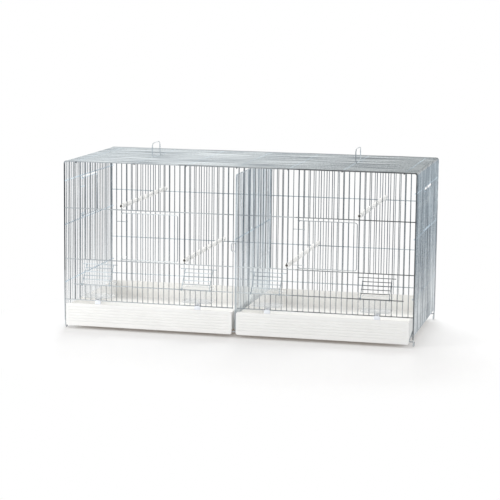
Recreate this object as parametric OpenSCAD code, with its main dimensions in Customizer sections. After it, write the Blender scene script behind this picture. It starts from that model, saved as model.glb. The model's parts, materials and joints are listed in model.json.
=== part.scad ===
// Double canary breeding cage in zinc-plated wire, with two pull-out trays,
// a pull-out divider, hinged doors, feeder flaps, clear feeders and perches.
// Millimetres. X runs along the front, Y runs to the rear and Z is up.
// The origin is on the floor, under the middle of the cage.

/* [Cage] */
// Width between the centres of the hoop legs
cage_w = 900; // [880:1:920]
// Depth between the planes of the front and rear hoops
cage_d = 390; // [370:1:410]
// Height of the top wires above the floor
cage_h = 430; // [425:1:460]
// Height at which the hoop legs are cut off
leg_end = 20; // [12:0.5:24]

/* [Wire] */
// Diameter of the hoop wire
hoop_wire = 3.5; // [3:0.1:4]
// Diameter of the grille bars
bar_wire = 2; // [1.6:0.1:2.2]
// Diameter of the rails that cross the bars
rail_wire = 2.5; // [2:0.1:2.8]
// Centre-line radius of the bends at the top edges
bend_r = 6; // [4:0.5:9]
// Space left between two wires where they are welded
weld_gap = 0.05; // [0.02:0.01:0.1]
// Clearance between a wire eye and the wire it turns on
eye_gap = 0.35; // [0.3:0.05:0.5]

/* [Grilles] */
// Number of gaps between bars across the whole front
gaps_w = 65; // [65:2:67]
// Number of gaps between bars from front to rear
gaps_d = 28; // [28:1:29]
// Height of the lowest front rail
sill_z = 75; // [74.5:0.5:77]
// Height of the front rail that the feeder flaps turn on
feed_z = 115; // [113:1:117]
// Height of the front rail under the doors
door_sill_z = 180; // [178:1:184]
// Height of the front rail above the doors
door_head_z = 311; // [300:1:320]
// Height of the bottom rail of the sides and the rear
base_rail_z = 27; // [25:1:32]
// Height of the second side rail
side_low_z = 120; // [110:1:140]
// Height of the side rail under the side doors
side_sill_z = 268; // [260:1:275]
// Height of the side rail above the side doors
side_head_z = 380; // [370:1:390]
// Height of the low rear rail
rear_low_z = 80; // [70:1:90]
// Height of the middle rear rail
rear_mid_z = 182.5; // [175:0.5:192]
// Height of the high rear rail
rear_high_z = 313.5; // [305:0.5:322]
// Place of the first pair of top cross wires, as a share of the half width
top_share_1 = 0.29; // [0.26:0.01:0.32]
// Place of the second pair of top cross wires, as a share of the half width
top_share_2 = 0.59; // [0.585:0.005:0.6]
// Place of the third pair of top cross wires, as a share of the half width
top_share_3 = 0.93; // [0.88:0.01:0.95]
// Length of a rail past the last bar that it crosses
rail_stub = 1.5; // [0.5:0.5:3]

/* [Front doors] */
// Bar that a front door turns on, counted from the left of its panel
door_bar = 11; // [10:1:11]
// Number of gaps that a front door opening spans
door_gaps = 11; // [11:1:11]
// Space between the free edge of a front door and the next bar
door_side_gap = 5.5; // [4:0.5:7]
// Space between the top wire of a door and the rail above it
door_head_gap = 8; // [5:0.5:10]
// Space between the bottom wire of a door and the rail below it
door_sill_gap = 4; // [3.5:0.5:6]
// Centre-line radius of a door's two free corners
door_corner_r = 6; // [4:0.5:8]
// Distance of the upper stop wire below the top wire of a door
stop_drop = 22; // [16:1:30]
// Distance of the lower stop wire above the bottom wire of a door
stop_rise = 7; // [5:1:12]
// Length of a stop wire past the hinge
stop_tail = 15.5; // [15:0.5:17]

/* [Side doors] */
// Bar that a side door turns on, counted from the front
side_door_bar = 10; // [9:1:11]
// Number of gaps that a side door opening spans
side_door_gaps = 9; // [8:1:10]

/* [Feeder flaps] */
// Number of gaps that a feeder opening spans
feed_gaps = 6; // [6:1:6]
// First bar beside the outer feeder opening of the left panel
feed_bar_1 = 3; // [3:1:4]
// First bar beside the second feeder opening of each panel
feed_bar_2 = 22; // [22:1:23]
// First bar beside the first feeder opening of the right panel
feed_bar_3 = 2; // [2:1:3]
// Width of a flap between the centres of its side wires
flap_w = 72; // [71:0.5:74]
// Length of a flap from its hinge to its top wire
flap_len = 60; // [50:1:60]
// Angle that an open flap leans inward from upright
flap_lean = 39; // [36:1:42]
// Number of wires across a flap
flap_wires = 5; // [4:1:6]
// Distance from the hinge to the first wire across a flap
flap_first = 15; // [12:1:18]
// Length of the top wire past each side wire
flap_horn = 11; // [9:0.5:12]

/* [Feeders] */
// Width of a feeder
feeder_w = 76; // [70:0.5:78]
// Depth of a feeder from front to rear
feeder_d = 46; // [40:1:50]
// Height of a feeder
feeder_h = 37; // [30:0.5:38]
// Thickness of the feeder's walls
feeder_wall = 1.6; // [1.2:0.1:2]
// Corner radius of the feeder
feeder_r = 6; // [4:0.5:8]
// Width of the lip around the feeder's mouth
feeder_lip = 1.2; // [0.8:0.1:1.5]
// Height of that lip
feeder_lip_h = 2; // [1.5:0.5:3]
// Space between a feeder's lip and the front bars
feeder_gap = 0.8; // [0.5:0.1:1.5]
// Space between a feeder and the clip that carries it
seat_gap = 0.3; // [0.2:0.05:0.4]

/* [Feeder clips] */
// Width of the clip's foot
clip_foot_w = 16; // [14:0.5:18]
// Height of the clip's foot
clip_foot_h = 9; // [8:0.5:9]
// Width of the clip's stem, which passes between two bars
clip_stem_w = 9; // [7:0.5:9.5]
// Thickness of the clip
clip_t = 2.4; // [2:0.1:2.6]
// Length of the clip's tongue behind the front bars
clip_tongue = 26; // [20:1:30]

/* [Perches] */
// Diameter of a perch
perch_dia = 12; // [10:0.5:12.5]
// Diameter of the open end of a perch
perch_bore = 6.5; // [5:0.5:7]
// Depth of the open end of a perch
perch_bore_len = 4; // [2:0.5:5]
// Length of a perch in front of and behind the bars it grips
perch_end = 6; // [5:0.5:7]
// Width of the slot that grips a bar
perch_slot = 2.8; // [2.6:0.1:3]
// Depth of the slot behind the bar
perch_slot_len = 8; // [6:1:12]
// Bar that the high perch on the left grips, counted from the middle
perch_high_left = 21; // [18:1:24]
// Bar that the high perch on the right grips, counted from the middle
perch_high_right = 22; // [18:1:24]
// Bar that each low perch grips, counted from the middle of the cage
perch_low = 9; // [8:1:9]

/* [Divider] */
// Diameter of the divider's frame wire
divider_wire = 3; // [2.5:0.1:3]
// Height of the divider's top wire
divider_top_z = 411; // [400:1:415]
// Height of the divider's middle wire
divider_mid_z = 248; // [240:1:256]
// Corner radius of the divider's frame
divider_r = 5; // [4:0.5:8]
// Space between the divider's rear upright and the rear bars
divider_rear_gap = 2; // [1:0.5:4]
// Width of the pull ring
ring_w = 11; // [9:0.5:13]
// Height of the pull ring
ring_h = 22; // [18:1:26]
// Height of the middle of the pull ring
ring_z = 229; // [222:1:234]

/* [Trays] */
// Mean space between a front plate's outer end and the hoop leg's centre line
tray_end_gap = 6.75; // [6.5:0.25:8]
// Space between the two front plates
tray_gap = 10.5; // [10:0.5:11]
// Distance of the middle of that space from the middle of the cage
tray_shift = -2.25; // [-2.5:0.05:-2]
// Height of the front plate's lower edge above the floor
tray_low_z = 8; // [6:0.5:9]
// Height of the front plate's upper edge above the floor
tray_high_z = 66; // [60:0.5:66]
// Thickness of the front plate
plate_t = 3; // [2.5:0.1:3.5]
// Distance from the front bars to the rear face of the front plate
plate_gap = 3; // [2.5:0.5:4]
// Corner radius of the front plate
plate_r = 6; // [4:0.5:8]
// Number of grooves in the front plate
groove_count = 6; // [4:1:7]
// Width of a groove
groove_w = 2; // [1.5:0.5:3]
// Depth of a groove
groove_depth = 0.7; // [0.4:0.1:1]
// Plain border around the grooves
groove_border = 7; // [6:0.5:9]
// Distance from the end of the front plate to the side of the tub
tub_inset = 4; // [3:0.5:6]
// Height of the tub's walls above the floor that it stands over
tub_top_z = 62; // [50:1:64]
// Thickness of the tub's walls and bottom
tub_wall = 2; // [1.5:0.1:2.5]
// Space between the tub and the rear bars
tub_rear_gap = 7; // [5:0.5:10]
// Corner radius of the tub
tub_r = 10; // [6:1:14]
// Diameter of the wires that the trays slide on
tray_rail_wire = 3; // [2.5:0.1:3.2]
// Height of the wires that the trays slide on
tray_rail_z = 14; // [12:0.5:14]
// Space between a tray or the divider and the wires that carry it
slide_gap = 0.3; // [0.2:0.05:0.4]

/* [Feet] */
// Diameter of the foot wire
foot_wire = 3; // [2.5:0.1:3.5]
// Centre-line radius of the foot's hook
foot_r = 8; // [7:0.5:10]
// Height of the top of the foot wire
foot_top = 60; // [45:1:80]
// Length of the upturned tip of the hook
foot_tip = 2; // [1:0.5:4]

/* [Hangers] */
// Diameter of the hanger wire
hanger_wire = 2.5; // [2:0.1:3]
// Height of a hanger above the top wires
hanger_h = 36; // [30:1:42]
// Centre-line radius of a hanger's corners
hanger_r = 10; // [6:1:15]
// Number of gaps between top wires that a hanger spans
hanger_gaps = 5; // [4:1:6]
// Gap that holds the front leg of the left hanger
hanger_gap_left = 11; // [4:1:18]
// Gap that holds the front leg of the right hanger
hanger_gap_right = 13; // [4:1:18]

/* [Hidden] */

$fn = 32;
LEFT = -1;
RIGHT = 1;
half_w = cage_w / 2;
pitch_w = cage_w / gaps_w;
pitch_d = cage_d / gaps_d;
panel_gaps = (gaps_w - 1) / 2;
// Distance between the centres of a bar and the rail that crosses it
cross = (bar_wire + rail_wire) / 2 + weld_gap;
// The origin lies midway between the foremost and the rearmost surface
front_reach = plate_gap + plate_t + bar_wire / 2;
rear_reach = max(cross + rail_wire / 2, perch_end);
y_front = -cage_d / 2 + (front_reach - rear_reach) / 2;
y_rear = y_front + cage_d;
hoop_end = hoop_wire / 2 + weld_gap;
bar_top = cage_h - hoop_wire / 2 - weld_gap;
door_top_z = door_head_z - door_head_gap;
door_bottom_z = door_sill_z + door_sill_gap;
side_door_top_z = side_head_z - door_head_gap;
side_door_bottom_z = side_sill_z + door_sill_gap;
rail_y = y_front - cross;
foot_y = hoop_wire / 2 + foot_wire / 2 + weld_gap;
tray_w = cage_w / 2 - tray_gap / 2 - tray_end_gap;
tray_seat_z = tray_rail_z + tray_rail_wire / 2 + slide_gap;
clip_z = sill_z + rail_wire / 2 + seat_gap;
feeder_z = clip_z + clip_t + seat_gap;
feeder_y = y_front + bar_wire / 2 + feeder_gap + feeder_lip;
plate_back_y = y_front - bar_wire / 2 - plate_gap;
door_eye_r = bar_wire + eye_gap;
flap_eye_r = rail_wire / 2 + eye_gap + bar_wire / 2;
hanger_eye_r = rail_wire / 2 + eye_gap + hanger_wire / 2;
stop_y = door_eye_r;
zinc = [0.72, 0.75, 0.78];
white = [0.96, 0.96, 0.93];
clear = [0.85, 0.9, 0.92, 0.45];
cream = [0.93, 0.9, 0.82];

function panel_x(side) = side == LEFT ? -half_w : pitch_w / 2;
function bar_x(side, i) = panel_x(side) + pitch_w * i;
function bar_y(j) = y_front + pitch_d * j;
function feed_bars(side) = [side == LEFT ? feed_bar_1 : feed_bar_3, feed_bar_2];
function within(i, first, count) = i > first && i < first + count;
function bar_spans(side, i) =
    let (low = sill_z - rail_wire / 2, edge = rail_wire / 2, feeds = feed_bars(side))
    within(i, door_bar, door_gaps)
        ? [[low, door_sill_z + edge], [door_head_z - edge, bar_top]]
        : within(i, feeds[0], feed_gaps) || within(i, feeds[1], feed_gaps)
            ? [[low, feed_z + edge], [door_sill_z - edge, bar_top]]
            : [[low, bar_top]];
// Feeder stations 1 to 4 from left to right
function station_side(n) = n <= 2 ? LEFT : RIGHT;
function station_bar(n) = feed_bars(station_side(n))[(n - 1) % 2];
function station_x(n) = bar_x(station_side(n), station_bar(n) + feed_gaps / 2);
function clip_x(n) = station_x(n) + pitch_w / 2;

module wire_x(x0, x1, y, z, d) {
    translate([x0, y, z])
        rotate([0, 90, 0])
            cylinder(h = x1 - x0, d = d);
}

module wire_y(x, y0, y1, z, d) {
    translate([x, y0, z])
        rotate([-90, 0, 0])
            cylinder(h = y1 - y0, d = d);
}

module wire_z(x, y, z0, z1, d) {
    translate([x, y, z0])
        cylinder(h = z1 - z0, d = d);
}

// Bend in the XY plane, turning from +X at angle start through angle turn
module bend(r, d, start, turn) {
    rotate([0, 0, start])
        rotate_extrude(angle = turn)
            translate([r, 0])
                circle(d = d);
}

// The same bend in the XZ plane
module bend_xz(x, y, z, r, d, start, turn) {
    translate([x, y, z])
        rotate([90, 0, 0])
            bend(r, d, start, turn);
}

// The same bend in the YZ plane
module bend_yz(x, y, z, r, d, start, turn) {
    translate([x, y, z])
        rotate([90, 0, 90])
            bend(r, d, start, turn);
}

// Closed eye of centre-line radius r around a wire that runs along Z
module eye(r, d) {
    rotate_extrude()
        translate([r, 0])
            circle(d = d);
}

// ---- Body of the cage ----

// One thick wire from the left leg over the top to the right leg
module hoop(y) {
    straight = half_w - bend_r;
    wire_x(-straight, straight, y, cage_h, hoop_wire);
    for (side = [LEFT, RIGHT]) {
        wire_z(side * half_w, y, leg_end, cage_h - bend_r, hoop_wire);
    }
    bend_xz(-straight, y, cage_h - bend_r, bend_r, hoop_wire, 90, 90);
    bend_xz(straight, y, cage_h - bend_r, bend_r, hoop_wire, 0, 90);
}

module front_hoop() {
    color(zinc)
        hoop(y_front);
}

module rear_hoop() {
    color(zinc)
        hoop(y_rear);
}

module top_grille() {
    reach = half_w - bend_r - weld_gap;
    color(zinc) {
        for (j = [1 : gaps_d - 1]) {
            wire_x(-reach, reach, bar_y(j), cage_h, bar_wire);
        }
        for (share = [0, top_share_1, top_share_2, top_share_3]) {
            for (side = share == 0 ? [RIGHT] : [LEFT, RIGHT]) {
                wire_y(side * half_w * share, y_front + hoop_end, y_rear - hoop_end, cage_h - cross, rail_wire);
            }
        }
    }
}

// Upright bars that bend over into the top, and the rails inside them
module side_grille(side) {
    low = base_rail_z - rail_wire / 2;
    edge = rail_wire / 2;
    for (j = [1 : gaps_d - 1]) {
        cut = within(j, side_door_bar, side_door_gaps);
        wire_z(side * half_w, bar_y(j), cut ? side_head_z - edge : low, cage_h - bend_r, bar_wire);
        bend_xz(
            side * (half_w - bend_r), bar_y(j), cage_h - bend_r,
            bend_r, bar_wire, side == LEFT ? 90 : 0, 90
        );
        if (cut) {
            wire_z(side * half_w, bar_y(j), low, side_sill_z + edge, bar_wire);
        }
    }
    for (z = [base_rail_z, side_low_z, side_sill_z, side_head_z]) {
        margin = z < foot_top ? hoop_end + foot_wire + weld_gap : hoop_end;
        wire_y(side * (half_w - cross), y_front + margin, y_rear - margin, z, rail_wire);
    }
}

module left_side_grille() {
    color(zinc)
        side_grille(LEFT);
}

module right_side_grille() {
    color(zinc)
        side_grille(RIGHT);
}

module rear_grille() {
    color(zinc) {
        for (i = [1 : gaps_w - 1]) {
            wire_z(-half_w + pitch_w * i, y_rear, base_rail_z - rail_wire / 2, bar_top, bar_wire);
        }
        for (z = [base_rail_z, rear_low_z, rear_mid_z, rear_high_z]) {
            wire_x(-half_w + hoop_end, half_w - hoop_end, y_rear + cross, z, rail_wire);
        }
    }
}

// Front panel of one compartment, with its door and feeder openings
module front_grille(side) {
    first = side == LEFT ? 1 : 0;
    last = first + panel_gaps - 1;
    inner = bar_wire / 2 + rail_stub;
    left_end = side == LEFT ? -half_w + hoop_end : bar_x(side, first) - inner;
    right_end = side == LEFT ? bar_x(side, last) + inner : half_w - hoop_end;
    for (i = [first : last]) {
        for (span = bar_spans(side, i)) {
            wire_z(bar_x(side, i), y_front, span[0], span[1], bar_wire);
        }
    }
    for (z = [sill_z, door_sill_z, door_head_z]) {
        wire_x(left_end, right_end, rail_y, z, rail_wire);
    }
    // The flap rail stops at the second bar from the corner
    outer = side == LEFT ? first + 1 : last - 1;
    wire_x(
        side == LEFT ? bar_x(side, outer) - inner : left_end,
        side == LEFT ? right_end : bar_x(side, outer) + inner,
        rail_y, feed_z, rail_wire
    );
}

module front_grille_left() {
    color(zinc)
        front_grille(LEFT);
}

module front_grille_right() {
    color(zinc)
        front_grille(RIGHT);
}

// Wire between two feet that carries the trays and the divider
module tray_rail(y) {
    reach = half_w - foot_wire / 2 - weld_gap;
    color(zinc)
        wire_x(-reach, reach, y, tray_rail_z, tray_rail_wire);
}

module front_tray_rail() {
    tray_rail(y_front + foot_y);
}

module rear_tray_rail() {
    tray_rail(y_rear - foot_y);
}

// Wire beside a hoop leg that ends on the floor in a hook turned into the cage
module foot(side, inward) {
    x = side * half_w;
    y = inward > 0 ? y_front + foot_y : y_rear - foot_y;
    hook_z = foot_r + foot_wire / 2;
    color(zinc) {
        wire_z(x, y, hook_z, foot_top, foot_wire);
        bend_yz(x, y + inward * foot_r, hook_z, foot_r, foot_wire, 180, 180);
        wire_z(x, y + inward * 2 * foot_r, hook_z, hook_z + foot_tip, foot_wire);
    }
}

module foot_front_left() {
    foot(LEFT, 1);
}

module foot_front_right() {
    foot(RIGHT, 1);
}

module foot_rear_left() {
    foot(LEFT, -1);
}

module foot_rear_right() {
    foot(RIGHT, -1);
}

// Wire loop that turns on a cross wire, with its legs between the top wires
module hanger(side) {
    x = side * half_w * top_share_2;
    first = side == LEFT ? hanger_gap_left : hanger_gap_right;
    pivot_z = cage_h - cross;
    corner_z = cage_h + hanger_h - hanger_r;
    front_y = bar_y(first + 0.5);
    rear_y = bar_y(first + 0.5 + hanger_gaps);
    color(zinc) {
        for (y = [front_y, rear_y]) {
            wire_z(x, y, pivot_z + hanger_eye_r, corner_z, hanger_wire);
            translate([x, y, pivot_z])
                rotate([90, 0, 0])
                    eye(hanger_eye_r, hanger_wire);
        }
        wire_y(x, front_y + hanger_r, rear_y - hanger_r, cage_h + hanger_h, hanger_wire);
        bend_yz(x, front_y + hanger_r, corner_z, hanger_r, hanger_wire, 90, 90);
        bend_yz(x, rear_y - hanger_r, corner_z, hanger_r, hanger_wire, 0, 90);
    }
}

module hanger_left() {
    hanger(LEFT);
}

module hanger_right() {
    hanger(RIGHT);
}

// ---- Doors ----

// Door in the XZ plane with its hinge on the Z axis.
// The wires across the hinge reach behind the next bar and stop the door there.
module door(gaps, pitch, bottom_z, top_z) {
    free_x = gaps * pitch - door_side_gap;
    start_x = door_eye_r;
    corner_x = free_x - door_corner_r;
    for (z = [bottom_z, top_z]) {
        wire_x(start_x, corner_x, 0, z, bar_wire);
        translate([0, 0, z])
            eye(door_eye_r, bar_wire);
    }
    wire_z(free_x, 0, bottom_z + door_corner_r, top_z - door_corner_r, bar_wire);
    bend_xz(corner_x, 0, top_z - door_corner_r, door_corner_r, bar_wire, 0, 90);
    bend_xz(corner_x, 0, bottom_z + door_corner_r, door_corner_r, bar_wire, -90, 90);
    inset = bar_wire / 2 + weld_gap;
    for (i = [1 : gaps - 1]) {
        wire_z(pitch * i, 0, bottom_z + inset, top_z - inset, bar_wire);
    }
    for (z = [bottom_z + stop_rise, top_z - stop_drop]) {
        wire_x(-stop_tail, pitch + rail_stub, stop_y, z, bar_wire);
    }
}

module front_door(side) {
    color(zinc)
        translate([bar_x(side, door_bar), y_front, 0])
            door(door_gaps, pitch_w, door_bottom_z, door_top_z);
}

module front_door_left() {
    front_door(LEFT);
}

module front_door_right() {
    front_door(RIGHT);
}

module side_door_right() {
    color(zinc)
        translate([half_w, bar_y(side_door_bar), 0])
            rotate([0, 0, 90])
                door(side_door_gaps, pitch_d, side_door_bottom_z, side_door_top_z);
}

module side_door_left() {
    mirror([1, 0, 0])
        side_door_right();
}

// ---- Feeder stations ----

// Flap in the XZ plane with its hinge on the X axis, turned to lean inward
module feeder_flap(n) {
    step = (flap_len - flap_first) / (flap_wires - 1);
    color(zinc)
        translate([station_x(n), rail_y, feed_z])
            rotate([-flap_lean, 0, 0]) {
                for (end = [LEFT, RIGHT]) {
                    wire_z(end * flap_w / 2, 0, flap_eye_r, flap_len + bar_wire / 2, bar_wire);
                    translate([end * flap_w / 2, 0, 0])
                        rotate([0, 90, 0])
                            eye(flap_eye_r, bar_wire);
                }
                for (k = [0 : flap_wires - 1]) {
                    horn = k == flap_wires - 1 ? flap_horn : bar_wire / 2;
                    reach = flap_w / 2 + horn;
                    wire_x(-reach, reach, -bar_wire - weld_gap, flap_first + step * k, bar_wire);
                }
            }
}

module feeder_flap_1() {
    feeder_flap(1);
}

module feeder_flap_2() {
    feeder_flap(2);
}

module feeder_flap_3() {
    feeder_flap(3);
}

module feeder_flap_4() {
    feeder_flap(4);
}

// T-shaped clip that hooks over the lowest rail and carries the feeder's bottom
module feeder_clip(n) {
    front_y = rail_y - rail_wire / 2 - seat_gap - clip_t;
    top_z = clip_z + clip_t;
    foot_low_z = tray_high_z + seat_gap;
    color(white)
        translate([clip_x(n), 0, 0]) {
            translate([-clip_stem_w / 2, front_y, clip_z])
                cube([clip_stem_w, y_front + clip_tongue - front_y, clip_t]);
            translate([-clip_stem_w / 2, front_y, foot_low_z])
                cube([clip_stem_w, clip_t, top_z - foot_low_z]);
            translate([-clip_foot_w / 2, front_y, foot_low_z])
                cube([clip_foot_w, clip_t, clip_foot_h]);
        }
}

module feeder_clip_1() {
    feeder_clip(1);
}

module feeder_clip_2() {
    feeder_clip(2);
}

module feeder_clip_3() {
    feeder_clip(3);
}

module feeder_clip_4() {
    feeder_clip(4);
}

module rounded_slab(w, d, h, r) {
    linear_extrude(height = h)
        rounded_rect(w, d, r);
}

// Rectangle centred on X that runs from 0 along Y, with round corners
module rounded_rect(w, d, r) {
    translate([-w / 2 + r, 0])
        square([w - 2 * r, d]);
    translate([-w / 2, r])
        square([w, d - 2 * r]);
    for (x = [-w / 2 + r, w / 2 - r]) {
        for (y = [r, d - r]) {
            translate([x, y])
                circle(r = r);
        }
    }
}

// Open cup with a lip around its mouth
module feeder(n) {
    inner_w = feeder_w - 2 * feeder_wall;
    inner_d = feeder_d - 2 * feeder_wall;
    lip_w = feeder_w + 2 * feeder_lip;
    lip_d = feeder_d + 2 * feeder_lip;
    color(clear)
        translate([station_x(n), feeder_y, feeder_z])
            difference() {
                union() {
                    rounded_slab(feeder_w, feeder_d, feeder_h, feeder_r);
                    translate([0, -feeder_lip, feeder_h - feeder_lip_h])
                        rounded_slab(lip_w, lip_d, feeder_lip_h, feeder_r + feeder_lip);
                }
                translate([0, feeder_wall, feeder_wall])
                    rounded_slab(inner_w, inner_d, feeder_h, feeder_r - feeder_wall);
            }
}

module feeder_1() {
    feeder(1);
}

module feeder_2() {
    feeder(2);
}

module feeder_3() {
    feeder(3);
}

module feeder_4() {
    feeder(4);
}

// ---- Perches ----

// Rod from the front bars to the rear bars, slotted at both ends to grip a bar
module perch(x, front_z, rear_z) {
    length = cage_d + 2 * perch_end;
    z = max(front_z, rear_z) + rail_wire / 2 + seat_gap + perch_dia / 2;
    color(cream)
        translate([x, y_front - perch_end, z])
            difference() {
                rotate([-90, 0, 0])
                    cylinder(h = length, d = perch_dia);
                for (y = [0, length - perch_bore_len]) {
                    translate([0, y, 0])
                        rotate([-90, 0, 0])
                            cylinder(h = perch_bore_len, d = perch_bore);
                }
                for (y = [-weld_gap, length - perch_end - perch_slot_len]) {
                    translate([-perch_slot / 2, y, -perch_dia])
                        cube([perch_slot, perch_end + perch_slot_len + weld_gap, 2 * perch_dia]);
                }
            }
}

function middle_bar_x(i) = pitch_w * (i + 0.5);

module perch_1() {
    perch(-middle_bar_x(perch_high_left), door_head_z, rear_high_z);
}

module perch_2() {
    perch(-middle_bar_x(perch_low), door_sill_z, rear_mid_z);
}

module perch_3() {
    perch(middle_bar_x(perch_low), door_sill_z, rear_mid_z);
}

module perch_4() {
    perch(middle_bar_x(perch_high_right), door_head_z, rear_high_z);
}

// ---- Divider ----

// Frame and bars in the YZ plane, in the gap between the two front panels
module divider() {
    low_z = tray_seat_z + divider_wire / 2;
    rear_y = y_rear - bar_wire / 2 - divider_rear_gap - divider_wire / 2;
    depth = rear_y - y_front;
    inset = divider_wire / 2 + weld_gap;
    color(zinc)
        translate([0, y_front, 0])
            rotate([0, 0, 90]) {
                for (z = [low_z, divider_top_z]) {
                    wire_x(divider_r, depth - divider_r, 0, z, divider_wire);
                }
                for (x = [0, depth]) {
                    wire_z(x, 0, low_z + divider_r, divider_top_z - divider_r, divider_wire);
                }
                bend_xz(divider_r, 0, low_z + divider_r, divider_r, divider_wire, 180, 90);
                bend_xz(depth - divider_r, 0, low_z + divider_r, divider_r, divider_wire, 270, 90);
                bend_xz(depth - divider_r, 0, divider_top_z - divider_r, divider_r, divider_wire, 0, 90);
                bend_xz(divider_r, 0, divider_top_z - divider_r, divider_r, divider_wire, 90, 90);
                for (j = [1 : gaps_d - 1]) {
                    wire_z(pitch_d * j, 0, low_z + inset, divider_top_z - inset, bar_wire);
                }
                wire_x(inset, depth - inset, cross, divider_mid_z, rail_wire);
            }
}

// Pull ring welded to the divider's front upright, in front of the left panel
module divider_ring() {
    x = -ring_w / 2;
    y = y_front - divider_wire / 2 - bar_wire / 2 - weld_gap;
    half_h = (ring_h - ring_w) / 2;
    color(zinc) {
        for (side = [LEFT, RIGHT]) {
            wire_z(x + side * ring_w / 2, y, ring_z - half_h, ring_z + half_h, bar_wire);
        }
        bend_xz(x, y, ring_z + half_h, ring_w / 2, bar_wire, 0, 180);
        bend_xz(x, y, ring_z - half_h, ring_w / 2, bar_wire, 180, 180);
    }
}

// ---- Trays ----

function tray_x(side) = tray_shift + side * (tray_gap + tray_w) / 2;

// Tub with a deeper, grooved front plate
module tray(side) {
    tub_w = tray_w - 2 * tub_inset;
    tub_d = y_rear - bar_wire / 2 - tub_rear_gap - plate_back_y;
    tub_h = tub_top_z - tray_seat_z;
    plate_h = tray_high_z - tray_low_z;
    groove_step = (plate_h - 2 * groove_border) / groove_count;
    color(white)
        translate([tray_x(side), 0, 0]) {
            difference() {
                translate([0, plate_back_y, tray_low_z])
                    rotate([90, 0, 0])
                        rounded_slab(tray_w, plate_h, plate_t, plate_r);
                for (k = [0 : groove_count - 1]) {
                    translate([
                        groove_border - tray_w / 2,
                        plate_back_y - plate_t - groove_depth,
                        tray_low_z + groove_border + groove_step * (k + 0.5) - groove_w / 2
                    ])
                        cube([tray_w - 2 * groove_border, 2 * groove_depth, groove_w]);
                }
            }
            translate([0, plate_back_y, tray_seat_z])
                difference() {
                    tub_outline(tub_w, tub_d, tub_r, tub_h);
                    translate([0, tub_wall, tub_wall])
                        tub_outline(tub_w - 2 * tub_wall, tub_d - 2 * tub_wall, tub_r - tub_wall, tub_h);
                }
        }
}

// Block whose two rear corners are round and whose front corners are square
module tub_outline(w, d, r, h) {
    linear_extrude(height = h) {
        translate([-w / 2, 0])
            square([w, d - r]);
        translate([-w / 2 + r, 0])
            square([w - 2 * r, d]);
        for (x = [-w / 2 + r, w / 2 - r]) {
            translate([x, d - r])
                circle(r = r);
        }
    }
}

module tray_left() {
    tray(LEFT);
}

module tray_right() {
    tray(RIGHT);
}

front_hoop();
rear_hoop();
top_grille();
left_side_grille();
right_side_grille();
rear_grille();
front_grille_left();
front_grille_right();
front_tray_rail();
rear_tray_rail();
foot_front_left();
foot_front_right();
foot_rear_left();
foot_rear_right();
hanger_left();
hanger_right();
front_door_left();
front_door_right();
side_door_left();
side_door_right();
feeder_flap_1();
feeder_flap_2();
feeder_flap_3();
feeder_flap_4();
feeder_clip_1();
feeder_clip_2();
feeder_clip_3();
feeder_clip_4();
feeder_1();
feeder_2();
feeder_3();
feeder_4();
perch_1();
perch_2();
perch_3();
perch_4();
divider();
divider_ring();
tray_left();
tray_right();
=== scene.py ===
"""The looks of a double canary breeding cage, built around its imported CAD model.

Shapes are made in millimetres and handed to Blender in metres. X runs to the right,
Y to the rear and Z up from the floor.
"""

import json
import math
import random

import bpy
from mathutils import Matrix, Vector

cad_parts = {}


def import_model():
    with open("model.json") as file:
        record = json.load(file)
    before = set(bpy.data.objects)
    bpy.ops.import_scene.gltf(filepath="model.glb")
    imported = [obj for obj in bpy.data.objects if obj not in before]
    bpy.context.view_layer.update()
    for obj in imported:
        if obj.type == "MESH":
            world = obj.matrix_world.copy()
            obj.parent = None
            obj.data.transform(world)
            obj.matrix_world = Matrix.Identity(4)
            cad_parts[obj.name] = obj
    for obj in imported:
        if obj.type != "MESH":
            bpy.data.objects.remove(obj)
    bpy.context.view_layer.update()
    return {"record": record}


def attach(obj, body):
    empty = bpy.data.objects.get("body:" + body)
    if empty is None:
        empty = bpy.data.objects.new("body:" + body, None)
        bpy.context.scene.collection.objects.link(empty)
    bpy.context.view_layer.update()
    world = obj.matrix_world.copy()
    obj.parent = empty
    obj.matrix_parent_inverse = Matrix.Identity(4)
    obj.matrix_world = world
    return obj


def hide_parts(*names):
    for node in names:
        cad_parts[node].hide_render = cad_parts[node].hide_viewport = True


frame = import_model()
random.seed(7)

RECORD = frame["record"]
BODY_OF = {n: b for b, nodes in RECORD["behaviour"]["bodies"].items() for n in nodes}

# ---- Sizes in millimetres, the same as in the CAD source ----

LEFT, RIGHT = -1, 1
SIDES = ((LEFT, "left"), (RIGHT, "right"))
HALF_W, DEPTH, HEIGHT = 450.0, 390.0, 430.0
FRONT, REAR = -194.5, 195.5
GAPS_W, GAPS_D = 65, 28
PITCH_W, PITCH_D = 2 * HALF_W / GAPS_W, DEPTH / GAPS_D
HOOP_R, BAR_R, RAIL_R, BEND_R = 1.75, 1.0, 1.25, 6.0
WELD_GAP, SEAT_GAP, EYE_GAP = 0.05, 0.3, 0.35
CROSS = BAR_R + RAIL_R + WELD_GAP
RAIL_Y = FRONT - CROSS
BAR_TOP = HEIGHT - HOOP_R - WELD_GAP
SILL_Z, FEED_Z, DOOR_SILL_Z, DOOR_HEAD_Z = 75.0, 115.0, 180.0, 311.0
SIDE_RAILS = (27.0, 120.0, 268.0, 380.0)
REAR_RAILS = (27.0, 80.0, 182.5, 313.5)
TOP_SHARES = (0.0, 0.29, 0.59, 0.93)
FRONT_GAPS = 31
DOOR_BAR, DOOR_GAPS = 11, 11
SIDE_DOOR_BAR, SIDE_DOOR_GAPS = 10, 9
FEED_BARS, FEED_GAPS = {LEFT: (3, 22), RIGHT: (2, 22)}, 6
LEG_END = 20.0
FOOT_R = 1.5
FOOT_Y = HOOP_R + FOOT_R + WELD_GAP
HANGER_GAPS, HANGER_SPAN, HANGER_RISE = {LEFT: 11, RIGHT: 13}, 5, 36
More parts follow.
